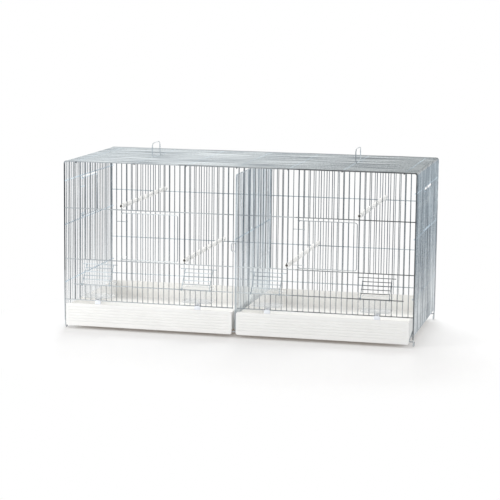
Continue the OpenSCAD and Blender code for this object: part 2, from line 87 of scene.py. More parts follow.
TRAY_RAIL_R, TRAY_RAIL_Z = 1.5, 14.0
TRAY_SEAT_Z = TRAY_RAIL_Z + TRAY_RAIL_R + SEAT_GAP
TRAY_LOW_Z, TRAY_HIGH_Z, TRAY_W = 8.0, 66.0, 438.0
CLIP_Z, CLIP_T = SILL_Z + RAIL_R + SEAT_GAP, 2.4
FLAP_LEAN, FLAP_HALF_W = 39, 36
PERCH_R = 6
DIVIDER_R, DIVIDER_TOP, DIVIDER_RAIL_Z = 1.5, 411.0, 248
RING_R, RING_Z = 5.5, 229


def bar_x(side, i):
    """Place of front bar i of a compartment, counted from its left end."""
    return (-HALF_W if side == LEFT else PITCH_W / 2) + PITCH_W * i


def bar_y(j):
    """Place of bar j of a side, counted from the front hoop."""
    return FRONT + PITCH_D * j


def station_x(n):
    """Middle of feeder station n, counted from 1 at the left."""
    side = LEFT if n <= 2 else RIGHT
    return bar_x(side, FEED_BARS[side][(n - 1) % 2] + FEED_GAPS / 2)


# ---- Mesh building ----

AX, AY, AZ = Vector((1, 0, 0)), Vector((0, 1, 0)), Vector((0, 0, 1))
# A wire's rounded end, as shares of its radius
END_LENGTH, END_R = 0.35, 0.65
# About how often a straight wire is out of true
WAVE_LENGTH = 70
# Angle that an eye winds, then its lead: along the wire, and out as a share of the eye
EYE_ANGLE = 330
EYE_LEAD = ((2.5, 0.93), (5.0, 0.55), (7.5, 0.15))


class Shape:
    """Points and faces of one piece, in millimetres, with a material index per face."""

    def __init__(self):
        self.points = []
        self.faces = []
        self.marks = []
        self.mark = 0

    def ring(self, points):
        """Adds points and returns their numbers."""
        start = len(self.points)
        self.points.extend(Vector(p) for p in points)
        return list(range(start, len(self.points)))

    def face(self, corners, mark=None):
        """Adds a face, with the shape's present index unless mark gives another."""
        self.faces.append(tuple(corners))
        self.marks.append(self.mark if mark is None else mark)

    def band(self, a, b, mark=None, closed=True):
        """Quads between two rings of the same length."""
        n = len(a)
        for i in range(n if closed else n - 1):
            j = (i + 1) % n
            self.face((a[i], a[j], b[j], b[i]), mark)

    def skin(self, rings, caps=True, mark=None):
        """Bands over rings that follow each other, closed at both ends by caps."""
        made = [self.ring(r) for r in rings]
        for a, b in zip(made, made[1:]):
            self.band(a, b, mark)
        if caps:
            self.face(reversed(made[0]), mark)
            self.face(made[-1], mark)
        return made

    def remark(self, rule):
        """Gives each face the index rule(first corner, present index)."""
        for k, face in enumerate(self.faces):
            self.marks[k] = rule(self.points[face[0]], self.marks[k])


def any_normal(t):
    return t.orthogonal().normalized()


def turn(sides):
    """Angles of the corners of a round section."""
    return [2 * math.pi * k / sides for k in range(sides)]


def tube(shape, path, r, sides=10, closed=False, normal=None):
    """A round wire along a path. Open ends are cut off with a small round edge."""
    path = [Vector(p) for p in path]
    n = len(path)
    stations = []
    for i, p in enumerate(path):
        before = path[i - 1] if i or closed else p
        after = path[(i + 1) % n] if i < n - 1 or closed else p
        stations.append((p, (after - before).normalized(), r))
    if not closed:
        (p, t, _), (q, u, _) = stations[0], stations[-1]
        edge, end_r = END_LENGTH * r, END_R * r
        stations[0] = (p + t * edge, t, r)
        stations[-1] = (q - u * edge, u, r)
        stations = [(p, t, end_r), *stations, (q, u, end_r)]
    side = normal or any_normal(stations[0][1])
    rings = []
    for p, t, radius in stations:
        side = (side - t * side.dot(t)).normalized()
        other = t.cross(side)
        rings.append(
            [p + radius * (math.cos(a) * side + math.sin(a) * other) for a in turn(sides)]
        )
    made = shape.skin(rings, caps=not closed)
    if closed:
        shape.band(made[-1], made[0])


def bar(shape, a, b, r=BAR_R, sides=10, loose=0.1):
    """A straight wire that is a little out of true between its ends."""
    a, b = Vector(a), Vector(b)
    t = (b - a).normalized()
    u = any_normal(t)
    v = t.cross(u)
    steps = max(1, round((b - a).length / WAVE_LENGTH))
    path = [a]
    for k in range(1, steps):
        off = loose * (random.uniform(-1, 1) * u + random.uniform(-1, 1) * v)
        path.append(a.lerp(b, k / steps) + off)
    path.append(b)
    tube(shape, path, r, sides)


def weld(shape, p, radii=(1.35, 0.8, 1.35), mark=None):
    """A small nugget of metal where two wires are joined."""
    p = Vector(p)
    rx, ry, rz = radii
    rows, sides = 3, 8
    rings = []
    for i in range(1, rows + 1):
        a = math.pi * i / (rows + 1)
        x, y, z = rx * math.sin(a), ry * math.sin(a), rz * math.cos(a)
        rings.append(
            [p + Vector((x * math.cos(b), y * math.sin(b), z)) for b in turn(sides)]
        )
    shape.skin(rings, mark=mark)


def arc(centre, u, v, r, start, end, steps):
    """Points of an arc in the plane of u and v. Angles in degrees."""
    centre, u, v = Vector(centre), Vector(u), Vector(v)
    out = []
    for k in range(steps + 1):
        a = math.radians(start + (end - start) * k / steps)
        out.append(centre + r * (math.cos(a) * u + math.sin(a) * v))
    return out


def eye(centre, axis, away, r, rise):
    """Path of a wire that winds once round a bar and leaves along away."""
    centre, axis, away = Vector(centre), Vector(axis), Vector(away)
    side = away.cross(axis).normalized()
    steps = 20
    path = []
    for k in range(steps + 1):
        a = math.radians(-EYE_ANGLE + EYE_ANGLE * k / steps)
        lift = rise * (1 - k / steps)
        path.append(centre + r * (math.cos(a) * side + math.sin(a) * away) + axis * lift)
    for ahead, out in EYE_LEAD:
        path.append(centre + side * r * out + away * ahead)
    return path


def rounded(x0, x1, y0, y1, radii, steps=6):
    """Points of a rectangle with four round corners, from the lower left."""
    corners = ((x0, y0, 180), (x1, y0, 270), (x1, y1, 0), (x0, y1, 90))
    out = []
    for (x, y, start), r in zip(corners, radii):
        cx = x + r if x == x0 else x - r
        cy = y + r if y == y0 else y - r
        for k in range(steps + 1):
            a = math.radians(start + 90 * k / steps)
            out.append((cx + r * math.cos(a), cy + r * math.sin(a)))
    return out


# ---- Materials ----

# Zinc where it is dull, in the middle and bright, and the noise values of these
ZINC_TONES = ((0.32, 0.345, 0.37), (0.53, 0.56, 0.585), (0.70, 0.73, 0.75))
ZINC_PLACES = (0.35, 0.5, 0.65)
# Scale of the zinc's noise along a wire and across it
ZINC_ALONG, ZINC_ACROSS = 5.0, 72.0
PLASTIC_IOR = 1.49


def material(name):
    """A new material, its node tree and its shader."""
    mat = bpy.data.materials.new(name)
    mat.use_nodes = True
    return mat, mat.node_tree, mat.node_tree.nodes["Principled BSDF"]


def set_inputs(node, values):
    for socket, value in values.items():
        node.inputs[socket].default_value = value


def add_node(tree, kind, values=None):
    """A new shader node with values on some of its sockets."""
    node = tree.nodes.new("ShaderNode" + kind)
    set_inputs(node, values or {})
    return node


def math_node(tree, operation, first, second):
    """The result of an operation on two sockets."""
    node = add_node(tree, "Math")
    node.operation = operation
    tree.links.new(first, node.inputs[0])
    tree.links.new(second, node.inputs[1])
    return node.outputs[0]


def noise(tree, scale, detail=3.0, stretch=(1, 1, 1)):
    """Noise over the object's own coordinates, in metres."""
    where = add_node(tree, "TexCoord")
    mapping = add_node(tree, "Mapping", {"Scale": stretch})
    texture = add_node(tree, "TexNoise", {"Scale": scale, "Detail": detail})
    tree.links.new(where.outputs["Object"], mapping.inputs["Vector"])
    tree.links.new(mapping.outputs["Vector"], texture.inputs["Vector"])
    return texture.outputs["Fac"]


def ramp(tree, value, stops):
    """A colour that follows a value between the stops (place, colour)."""
    node = add_node(tree, "ValToRGB")
    elements = node.color_ramp.elements
    while len(elements) < len(stops):
        elements.new(0.5)
    for element, (place, colour) in zip(elements, stops):
        element.position = place
        element.color = (*colour, 1)
    tree.links.new(value, node.inputs["Fac"])
    return node.outputs["Color"]


def spread(tree, value, low, high):
    """The middle of the noise mapped to low and high."""
    limits = {"From Min": 0.3, "From Max": 0.7, "To Min": low, "To Max": high}
    node = add_node(tree, "MapRange", limits)
    tree.links.new(value, node.inputs["Value"])
    return node.outputs["Result"]


def bump(tree, shader, value, distance, strength):
    """Relief of the given depth in metres."""
    node = add_node(tree, "Bump", {"Distance": distance, "Strength": strength})
    tree.links.new(value, node.inputs["Height"])
    tree.links.new(node.outputs["Normal"], shader.inputs["Normal"])


def zinc_material(name, painted_light, run, tint, metallic):
    """Zinc plating with dull and bright stretches along wires that run along an axis. Its
    colour is scaled by painted_light: lighter or darker copies are painted light and
    shade.
    """
    mat, tree, shader = material(name)
    stops = [
        (place, tuple(painted_light * t * c for t, c in zip(tint, tone)))
        for place, tone in zip(ZINC_PLACES, ZINC_TONES)
    ]
    stretch = tuple(ZINC_ALONG if axis == run else ZINC_ACROSS for axis in "XYZ")
    colour = ramp(tree, noise(tree, 1.0, 1.5, stretch), stops)
    rough = spread(tree, noise(tree, 25.0, 2.0), 0.16, 0.28)
    tree.links.new(colour, shader.inputs["Base Color"])
    tree.links.new(rough, shader.inputs["Roughness"])
    set_inputs(shader, {"Metallic": metallic})
    bump(tree, shader, noise(tree, 300.0, 2.0), 0.00002, 0.3)
    return mat


def zinc_set(name, painted_light, tint=(1, 1, 1), metallic=1.0):
    """The three zinc materials of one level of painted light, by the direction of the
    wire.
    """
    return {
        run: zinc_material(f"{name}_{run.lower()}", painted_light, run, tint, metallic)
        for run in "XYZ"
    }


def plastic_material(name, dark, light, rough, grain=700.0):
    """Moulded plastic with a faint grain and slightly uneven gloss."""
    mat, tree, shader = material(name)
    colour = ramp(tree, noise(tree, 18.0, 4.0), [(0.3, dark), (0.7, light)])
    tree.links.new(colour, shader.inputs["Base Color"])
    tree.links.new(spread(tree, noise(tree, 90.0), *rough), shader.inputs["Roughness"])
    set_inputs(shader, {"IOR": PLASTIC_IOR})
    bump(tree, shader, noise(tree, grain, 2.0), 0.00006, 0.35)
    return mat


def clear_material(name, alpha):
    """Clear moulded plastic, a little milky. It lets through what alpha leaves."""
    mat, tree, shader = material(name)
    stops = [(0.3, (0.93, 0.94, 0.93)), (0.7, (0.97, 0.98, 0.98))]
    rough = spread(tree, noise(tree, 120.0), 0.12, 0.24)
    tree.links.new(ramp(tree, noise(tree, 25.0), stops), shader.inputs["Base Color"])
    tree.links.new(rough, shader.inputs["Roughness"])
    set_inputs(shader, {"IOR": PLASTIC_IOR, "Alpha": alpha})
    bump(tree, shader, noise(tree, 90.0, 2.0), 0.0001, 0.2)
    return mat


# The zinc is one plating. Its copies below are painted light and shade: the darker ones
# are painted shade, and the lighter, bluish or less metallic ones are painted highlights.
ZINC = zinc_set("zinc", 1.0)
DEEP_SHADE_ZINC = zinc_set("zinc_deep_shade", 0.42)
SHADE_ZINC = zinc_set("zinc_shade", 0.7)
LIT_ZINC = zinc_set("zinc_lit", 1.15)
BRIGHTLY_LIT_ZINC = zinc_set("zinc_brightly_lit", 1.25)
BLUE_HIGHLIGHT_ZINC = zinc_set("zinc_blue_highlight", 1.4, (0.9, 1.02, 1.1), 0.25)
SOFT_HIGHLIGHT_ZINC = zinc_set("zinc_soft_highlight", 1.3, (0.96, 1.0, 1.02), 0.65)
PALE_HIGHLIGHT_ZINC = zinc_set("zinc_pale_highlight", 1.6, (1, 1, 0.97), 0.15)
TRAY = plastic_material(
    "tray_white", (0.905, 0.89, 0.865), (0.945, 0.93, 0.905), (0.30, 0.42)
)
# The tub is the plate's plastic made lighter and warmer: painted bounce light, and
# painted light where the wires shade it
TUB_PAINTED_BOUNCE = plastic_material(
    "tub_painted_bounce", (0.95, 0.935, 0.905), (0.975, 0.965, 0.94), (0.30, 0.42)
)
CLIP = plastic_material(
    "clip_white", (0.85, 0.87, 0.92), (0.91, 0.93, 0.96), (0.22, 0.34)
)
PERCH = plastic_material(
    "perch_cream", (0.95, 0.94, 0.91), (0.975, 0.965, 0.945), (0.45, 0.6), 400.0
)
# Dark brown for the perch's bore: painted shade in the hole
BORE_PAINTED_SHADE = plastic_material(
    "bore_painted_shade", (0.10, 0.07, 0.04), (0.17, 0.12, 0.08), (0.6, 0.8)
)
CLEAR = clear_material("clear_wall", 0.09)
# The feeder's rim is the same clear plastic made nearly opaque: a painted highlight for
# its bright edges
CLEAR_HIGHLIGHT = clear_material("clear_painted_highlight", 0.6)


# ---- Pieces ----

# Material indices of grilles, with more of them for stretches painted lighter or darker,
# as painted light and shade
BARS, RAILS = 0, 1
TOP_HOOKS = 2
RAILS_MIDDLE, RAILS_RIGHT = 2, 3
# Material indices of the hoops: stretches that the front hoop paints lighter or darker,
# as painted light and shade
LEGS, TOP_RIGHT, LEFT_LEG_LOW, TOP_LEFT, TOP_MIDDLE = range(5)


def mesh_object(name, points, faces):
    """A new object of the scene. The points are in metres."""
    mesh = bpy.data.meshes.new(name)
    mesh.from_pydata(points, [], faces)
    obj = bpy.data.objects.new(name, mesh)
    bpy.context.scene.collection.objects.link(obj)
    return obj


def shape_object(name, shape):
    return mesh_object(name, [p / 1000 for p in shape.points], shape.faces)


def piece(name, shape, node, materials, sharp_from=40.0):
    """Makes one piece of the scene that stands for a CAD node."""
    obj = shape_object(name, shape)
    for mat in materials:
        obj.data.materials.append(mat)
    obj.data.polygons.foreach_set("material_index", shape.marks)
    obj.data.shade_smooth()
    obj.data.set_sharp_from_angle(angle=math.radians(sharp_from))
    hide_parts(node)
    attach(obj, BODY_OF[node])
    return obj


def wire_piece(node, shape, *materials):
    piece(node + "_wire", shape, node, materials)


# ---- Body of the cage ----

# The bars' ends sink into the weld under the hoop
BAR_END = BAR_TOP + 0.4
# The top cross wires' hooks reach this far inward from the front hoop
HOOK_END_Y = FRONT + 6
# Half sizes of weld nuggets along X, Y and Z, by what they join. The large ones show as a
# light line along a rail behind its bars, helped by the rails' bluish zinc, a painted
# highlight.
TOP_WELD = (1.8, 2.1, 1.25)
SIDE_WELD, SIDE_LINE_WELD = (0.8, 1.35, 1.4), (1.3, 2.0, 1.3)
SIDE_END_WELD, RAIL_END_WELD = (1.0, 1.4, 1.4), (0.9, 1.6, 1.3)
TRAY_RAIL_WELD = (0.9, 1.7, 1.7)
FOOT_WELD = (1.1, 0.7, 1.6)


def hoop(y):
    """One thick wire from the left leg over the top to the right leg."""
    shape = Shape()
    inner, bend_z = HALF_W - BEND_R, HEIGHT - BEND_R
    low_z = 150
    path = [(-HALF_W, y, z) for z in (LEG_END, 110, low_z, 290)]
    path += arc((-inner, y, bend_z), AX, AZ, BEND_R, 180, 90, 8)
    path += [(x, y, HEIGHT) for x in (-300, -150, 0, 150, 300)]
    path += arc((inner, y, bend_z), AX, AZ, BEND_R, 90, 0, 8)
    path += [(HALF_W, y, z) for z in (290, low_z, LEG_END)]
    tube(shape, path, HOOP_R, 16, normal=AY)

    # The front hoop's stretches are painted light and shade: plain zinc at the top left
    # and the left leg's low end, painted shade in the top middle, and deeper painted
    # shade on the legs and the top right
    def tone(p, mark):
        if p.z > HEIGHT - 2 * BEND_R:
            return TOP_LEFT if p.x < -200 else TOP_MIDDLE if p.x < 100 else TOP_RIGHT
        return LEFT_LEG_LOW if p.x < 0 and p.z < low_z else mark

    shape.remark(tone)
    return shape


def hook_path(x, y, inward):
    """A top cross wire's end: under the hoop at y and up its outer side."""
    low = HEIGHT - CROSS
    path = [(x, y + inward * 9, low), (x, y + inward * 5.5, low - 0.2)]
    path += arc((x, y, HEIGHT), -inward * AY, -AZ, HOOP_R + RAIL_R, 110, 10, 7)
    return path


def top_grille():
    """Long wires over cross wires whose ends hook over the hoops."""
    shape = Shape()
    reach = HALF_W - BEND_R + 0.6
    for j in range(1, GAPS_D):
        bar(shape, (-reach, bar_y(j), HEIGHT), (reach, bar_y(j), HEIGHT), loose=0.12)
    shape.mark = RAILS
    for share in TOP_SHARES:
        for side in (RIGHT,) if share == 0 else (LEFT, RIGHT):
            x = side * HALF_W * share
            path = hook_path(x, FRONT, 1)[::-1] + hook_path(x, REAR, -1)
            tube(shape, path, RAIL_R, 12, normal=AX)
            for j in range(1, GAPS_D):
                weld(shape, (x, bar_y(j), HEIGHT - 0.3), TOP_WELD)
    # The hooks at the front take darker zinc: painted shade
    shape.remark(lambda p, mark: TOP_HOOKS if p.y < HOOK_END_Y else mark)
    return shape


def side_grille(side):
    """Upright bars that bend over into the top, and the rails inside them."""
    shape = Shape()
    x, rail_x = side * HALF_W, side * (HALF_W - CROSS)
    weld_x, line_x, end_x = (side * (HALF_W - inset) for inset in (1.1, 0.6, 2.1))
    low = SIDE_RAILS[0] - RAIL_R
    sill, head = SIDE_RAILS[2:]
    for j in range(1, GAPS_D):
        y = bar_y(j)
        cut = SIDE_DOOR_BAR < j < SIDE_DOOR_BAR + SIDE_DOOR_GAPS
        start = head - RAIL_R if cut else low
        centre = (side * (HALF_W - BEND_R), y, HEIGHT - BEND_R)
        path = [(x, y, start), (x, y, (start + HEIGHT - BEND_R) / 2)]
        path += arc(centre, side * AX, AZ, BEND_R, 0, 90, 6)
        tube(shape, path, BAR_R, 10, normal=AY)
        if cut:
            bar(shape, (x, y, low), (x, y, sill + RAIL_R))
        # Welds at the door's sill and head rails take the rails' bluish zinc: a painted
        # highlight along these rails
        for z in SIDE_RAILS:
            if z < sill:
                weld(shape, (weld_x, y, z), SIDE_WELD)
            else:
                weld(shape, (line_x, y, z), SIDE_LINE_WELD, mark=RAILS)
    shape.mark = RAILS
    for z in SIDE_RAILS:
        # The lowest rail stops short of the feet, the others pass inside the legs
        lowest = z == SIDE_RAILS[0]
        end = HOOP_R + 3.2 if lowest else -3.2
        tip = rail_x - side * (0 if lowest else 1.0)
        near = abs(end) + 2
        path = [(tip, FRONT + end, z), (tip, FRONT + near, z), (rail_x, FRONT + 12, z)]
        path += [(rail_x, bar_y(j), z) for j in (7, 14, 21)]
        path += [(rail_x, REAR - 12, z), (tip, REAR - near, z), (tip, REAR - end, z)]
        tube(shape, path, RAIL_R, 12, normal=AZ)
        for y in (FRONT, REAR):
            weld(shape, (end_x, y, z), SIDE_END_WELD)
    return shape


def rear_grille():
    """Bars over the whole width, and four rails behind them."""
    shape = Shape()
    for i in range(1, GAPS_W):
        x = -HALF_W + PITCH_W * i
        bar(shape, (x, REAR, REAR_RAILS[0] - RAIL_R), (x, REAR, BAR_END))
        for z in REAR_RAILS:
            weld(shape, (x, REAR + 1.1, z))
    shape.mark = RAILS
    reach = HALF_W - HOOP_R
    for z in REAR_RAILS:
        bar(shape, (-reach, REAR + CROSS, z), (reach, REAR + CROSS, z), RAIL_R, 12)
        for side in (LEFT, RIGHT):
            weld(shape, (side * reach, REAR + 1.6, z), RAIL_END_WELD)
    return shape


def bar_spans(side, i):
    """Lower and upper ends of a front bar, cut out for the door and the feeders."""
    low = SILL_Z - RAIL_R

    def within(first, count):
        return first < i < first + count

    if within(DOOR_BAR, DOOR_GAPS):
        return [(low, DOOR_SILL_Z + RAIL_R), (DOOR_HEAD_Z - RAIL_R, BAR_END)]
    if any(within(first, FEED_GAPS) for first in FEED_BARS[side]):
        return [(low, FEED_Z + RAIL_R), (DOOR_SILL_Z - RAIL_R, BAR_END)]
    return [(low, BAR_END)]


def front_grille(side):
    """One compartment's front: bars, and four rails before them."""
    shape = Shape()
    first = 1 if side == LEFT else 0
    last = first + FRONT_GAPS
    stub, reach = BAR_R + 1.5, HALF_W - 1.8
    if side == LEFT:
        ends = (-reach, bar_x(side, last) + stub)
        feed_ends = (bar_x(side, first + 1) - stub, ends[1])
    else:
        ends = (bar_x(side, first) - stub, reach)
        feed_ends = (ends[0], bar_x(side, last - 1) + stub)
    rails = {SILL_Z: ends, FEED_Z: feed_ends, DOOR_SILL_Z: ends, DOOR_HEAD_Z: ends}
    for i in range(first, last + 1):
        x = bar_x(side, i)
        for low, high in bar_spans(side, i):
            bar(shape, (x, FRONT, low), (x, FRONT, high))
            for z, (x0, x1) in rails.items():
                if low - 2 < z < high + 2 and x0 < x < x1:
                    weld(shape, (x, FRONT - 1.1, z))
    shape.mark = RAILS
    for z, (x0, x1) in rails.items():
        bar(shape, (x0, RAIL_Y, z), (x1, RAIL_Y, z), RAIL_R, 12)
        if z != FEED_Z:
            weld(shape, (side * (HALF_W - 1.9), FRONT - 1.5, z), RAIL_END_WELD)

    # Rails right of x = 90 take further materials, which in the right compartment are
    # darker zinc towards the right: painted shade
    def tone(p, mark):
        if mark == BARS or p.x <= 90:
            return mark
        return RAILS_MIDDLE if p.x < 250 else RAILS_RIGHT

    shape.remark(tone)
    return shape


def tray_rail(y, braced):
    """Wire that the trays slide on, with a slanting brace at each end."""
    shape = Shape()
    reach = HALF_W - FOOT_R
    brace = ((439.5, 2.4), (441.5, 5), (444.5, 14), (446.8, 22), (447.6, 27))
    bar(shape, (-reach, y, TRAY_RAIL_Z), (reach, y, TRAY_RAIL_Z), TRAY_RAIL_R, 14)
    for side in (LEFT, RIGHT):
        weld(shape, (side * reach, y, TRAY_RAIL_Z), TRAY_RAIL_WELD)
        if braced:
            path = [(side * x, y, TRAY_RAIL_Z + rise) for x, rise in brace]
            tube(shape, path, 1.4, 12, normal=AY)
    return shape


def foot(side, y, inward):
    """Wire beside a leg that ends on the floor in a hook turned into the cage."""
    shape = Shape()
    x, r = side * HALF_W, 8.0
    y += inward * FOOT_Y
    hook_z = r + FOOT_R
    path = [(x, y, 60), (x, y, 40), (x, y, 20)]
    path += arc((x, y + inward * r, hook_z), -inward * AY, -AZ, r, 0, 180, 14)
    path += [(x, y + inward * 2 * r, hook_z + 2)]
    tube(shape, path, FOOT_R, 14, normal=AX)
    for z in (22, 34, 46, 57):
        weld(shape, (x, y - inward * FOOT_R, z), FOOT_WELD)
    return shape


def hanger(side):
    """Loop that stands across the top, with an eye round the cross wire at each leg."""
    shape = Shape()
    x, r, corner, bow = side * HALF_W * TOP_SHARES[2], 1.25, 10.0, 0.8
    first = HANGER_GAPS[side] + 0.5
    y0, y1 = bar_y(first), bar_y(first + HANGER_SPAN)
    pivot_z, top_z = HEIGHT - CROSS, HEIGHT + HANGER_RISE
    around = RAIL_R + EYE_GAP + r
    front = eye((x, y0, pivot_z), -AY, AZ, around, 2.4)
    rear = eye((x, y1, pivot_z), AY, AZ, around, 2.4)
    # Both legs stand on the same side of the wire
    rear = [Vector((2 * x - p.x, p.y, p.z)) for p in rear]
    path = front + arc((x, y0 + corner, top_z - corner), -AY, AZ, corner, 0, 90, 8)
    path += [(x, (y0 + y1) / 2, top_z + bow)]
    path += arc((x, y1 - corner, top_z - corner), AY, AZ, corner, 90, 0, 8) + rear[::-1]
    tube(shape, path, r, 12)
    return shape


# Each wire takes a zinc copy by where it stands, as painted light and shade: painted
# shade on the front and rear bars, painted light on the side grilles, the top's bars, the
# tray rails, the rear feet and the hangers, and bluish or soft painted highlights on the
# rails of the top, the sides and the rear
HOOP_LIGHT_AND_SHADE = (DEEP_SHADE_ZINC["Z"], DEEP_SHADE_ZINC["X"], ZINC["Z"], ZINC["X"], SHADE_ZINC["X"])
REAR_TONES = (ZINC["Z"], ZINC["X"], ZINC["Z"], ZINC["X"], ZINC["X"])
TOP_LIGHT_AND_SHADE = (BRIGHTLY_LIT_ZINC["X"], BLUE_HIGHLIGHT_ZINC["Y"], DEEP_SHADE_ZINC["Y"])
RIGHT_LIGHT_AND_SHADE = (SHADE_ZINC["Z"], LIT_ZINC["X"], SHADE_ZINC["X"], DEEP_SHADE_ZINC["X"])

wire_piece("front_hoop", hoop(FRONT), *HOOP_LIGHT_AND_SHADE)
wire_piece("rear_hoop", hoop(REAR), *REAR_TONES)
wire_piece("top_grille", top_grille(), *TOP_LIGHT_AND_SHADE)
wire_piece("left_side_grille", side_grille(LEFT), LIT_ZINC["Z"], BLUE_HIGHLIGHT_ZINC["Y"])
wire_piece("right_side_grille", side_grille(RIGHT), LIT_ZINC["Z"], BLUE_HIGHLIGHT_ZINC["Y"])
wire_piece("rear_grille", rear_grille(), SHADE_ZINC["Z"], SOFT_HIGHLIGHT_ZINC["X"])
wire_piece("front_grille_left", front_grille(LEFT), SHADE_ZINC["Z"], ZINC["X"])
wire_piece("front_grille_right", front_grille(RIGHT), *RIGHT_LIGHT_AND_SHADE)
wire_piece("front_tray_rail", tray_rail(FRONT + FOOT_Y, True), BRIGHTLY_LIT_ZINC["X"])
wire_piece("rear_tray_rail", tray_rail(REAR - FOOT_Y, False), BRIGHTLY_LIT_ZINC["X"])
for side, side_name in SIDES:
    wire_piece("foot_front_" + side_name, foot(side, FRONT, 1), ZINC["Z"])
    wire_piece("foot_rear_" + side_name, foot(side, REAR, -1), BRIGHTLY_LIT_ZINC["Z"])
    wire_piece("hanger_" + side_name, hanger(side), BRIGHTLY_LIT_ZINC["Z"])


# ---- Doors ----

STOP_WELD = (1.2, 1.2, 1.2)
# From an opening's rails to the door's lowest and highest wire
DOOR_RISE, DOOR_DROP = 4, 8


def door(origin, along, inside, gaps, pitch, sill, head):
    """A door with its hinge at origin. Along runs to its free edge."""
    shape = Shape()
    bottom, top = sill + DOOR_RISE, head - DOOR_DROP

    def at(u, v, z):
        return Vector((*origin, 0)) + u * along + v * inside + z * AZ

    # The top and bottom wires take the second material, which is lighter zinc: a painted
    # highlight
    def tone(p, mark):
        return RAILS if min(abs(p.z - top), abs(p.z - bottom)) < 2 * BAR_R else mark

    free, corner = gaps * pitch - 5.5, 6.0
    around = BAR_R + EYE_GAP + BAR_R
    path = eye(at(0, 0, top), -AZ, along, around, 2.1) + [at(free / 2, 0, top)]
    path += arc(at(free - corner, 0, top - corner), along, AZ, corner, 90, 0, 6)
    path += arc(at(free - corner, 0, bottom + corner), along, AZ, corner, 0, -90, 6)
    path += [at(free / 2, 0, bottom)]
    path += eye(at(0, 0, bottom), AZ, along, around, 2.1)[::-1]
    tube(shape, path, BAR_R, 12, normal=inside)
    shape.remark(tone)
    nugget = [abs(c) for c in 1.3 * along + 1.15 * inside + 1.3 * AZ]
    for i in range(1, gaps):
        bar(shape, at(pitch * i, 0, bottom), at(pitch * i, 0, top), loose=0.06)
        for z in (bottom, top):
            weld(shape, at(pitch * i, 0, z), nugget)
    shape.mark = RAILS
    # Two wires behind the neighbouring bar stop the door from swinging inward
    stop_v = 2 * BAR_R + EYE_GAP
    for z in (bottom + 7, top - 22):
        path = [at(u, stop_v, z) for u in (-15.5, -4, 8)]
        path += [at(u, stop_v - 0.35, z) for u in (pitch - 1, pitch + 1.5)]
        tube(shape, path, BAR_R, 10, normal=AZ)
        weld(shape, at(pitch, 1.0, z), STOP_WELD)
    return shape


for side, side_name in SIDES:
    hinge = (bar_x(side, DOOR_BAR), FRONT)
    shape = door(hinge, AX, AY, DOOR_GAPS, PITCH_W, DOOR_SILL_Z, DOOR_HEAD_Z)
    # The left door's top and bottom wires are painted pale, the right door's brightly lit
    # and the side doors' bluish: painted highlights
    across = PALE_HIGHLIGHT_ZINC["X"] if side == LEFT else BRIGHTLY_LIT_ZINC["X"]
    wire_piece("front_door_" + side_name, shape, ZINC["Z"], across)
    hinge = (side * HALF_W, bar_y(SIDE_DOOR_BAR))
    shape = door(hinge, AY, -side * AX, SIDE_DOOR_GAPS, PITCH_D, *SIDE_RAILS[2:])
    wire_piece("side_door_" + side_name, shape, LIT_ZINC["Z"], BLUE_HIGHLIGHT_ZINC["Y"])


# ---- Feeder stations ----

FLAP_WELD = (1.25, 0.9, 0.9)
FLAP_WIRES, FLAP_FIRST, FLAP_PITCH = 5, 15, 11.25
# Right half of a clip's foot, seen from the front, from its lowest edge up to the neck
CLIP_FOOT = ((7.2, 0), (8, 0.8), (8, 7.6), (7.2, 8.4), (5.6, 8.8), (4.5, 9.8))
CLIP_HALF_W = 4.5
FEEDER_W, FEEDER_D, FEEDER_H = 76.0, 46.0, 37.0
FEEDER_WALL, FEEDER_R, FEEDER_LIP = 1.6, 6.0, 1.2
# Material indices of a feeder, and the bands of its profile that are made more opaque as
# a painted highlight for the bright edges of clear plastic: the foot edge, the lip and
# the bottom corner
CLEAR_WALL, RIM_HIGHLIGHT = 0, 1
RIM_BANDS = (0, 1, 2, 6, 7, 8, 9, 10, 11, 14, 15)


def flap(n):
    """Wire grille that leans inward from the rail under the feeder opening."""
    shape = Shape()
    lean = math.radians(FLAP_LEAN)
    up = Vector((0, math.sin(lean), math.cos(lean)))
    out = Vector((0, -math.cos(lean), math.sin(lean)))
    hinge = Vector((station_x(n), RAIL_Y, FEED_Z))
    around = RAIL_R + EYE_GAP + BAR_R
    for side in (LEFT, RIGHT):
        start = hinge + side * FLAP_HALF_W * AX
        path = eye(start, side * AX, up, around, 2.1)
        if (path[-1] - start).dot(out) > 0:
            path = [p - 2 * (p - start).dot(out) * out for p in path]
        path += [start + length * up for length in (10, 35, 61)]
        tube(shape, path, BAR_R, 12, normal=AX)
    shape.mark = RAILS
    for k in range(FLAP_WIRES):
        # The last wire is longer: its ends meet the front bars when the flap closes
        reach = FLAP_HALF_W + (11 if k == FLAP_WIRES - 1 else BAR_R)
        middle = hinge + (FLAP_FIRST + FLAP_PITCH * k) * up + 2.05 * out
        bar(shape, middle - reach * AX, middle + reach * AX, sides=12, loose=0.05)
        for side in (LEFT, RIGHT):
            weld(shape, middle + side * FLAP_HALF_W * AX - 1.0 * out, FLAP_WELD)
    return shape


def slab(shape, x0, x1, y0, y1, z0, z1, r=0.5):
    """A block with rounded edges: a stack of rounded outlines."""
    edge = 0.3 * r
    levels = [(r, z0), (edge, z0 + edge), (0, z0 + r)]
    levels += [(0, z1 - r), (edge, z1 - edge), (r, z1)]
    rings = []
    for inset, z in levels:
        radii = [max(r, 0.9) - inset * 0.5] * 4
        outline = rounded(x0 + inset, x1 - inset, y0 + inset, y1 - inset, radii, 3)
        rings.append([(x, y, z) for x, y in outline])
    shape.skin(rings)


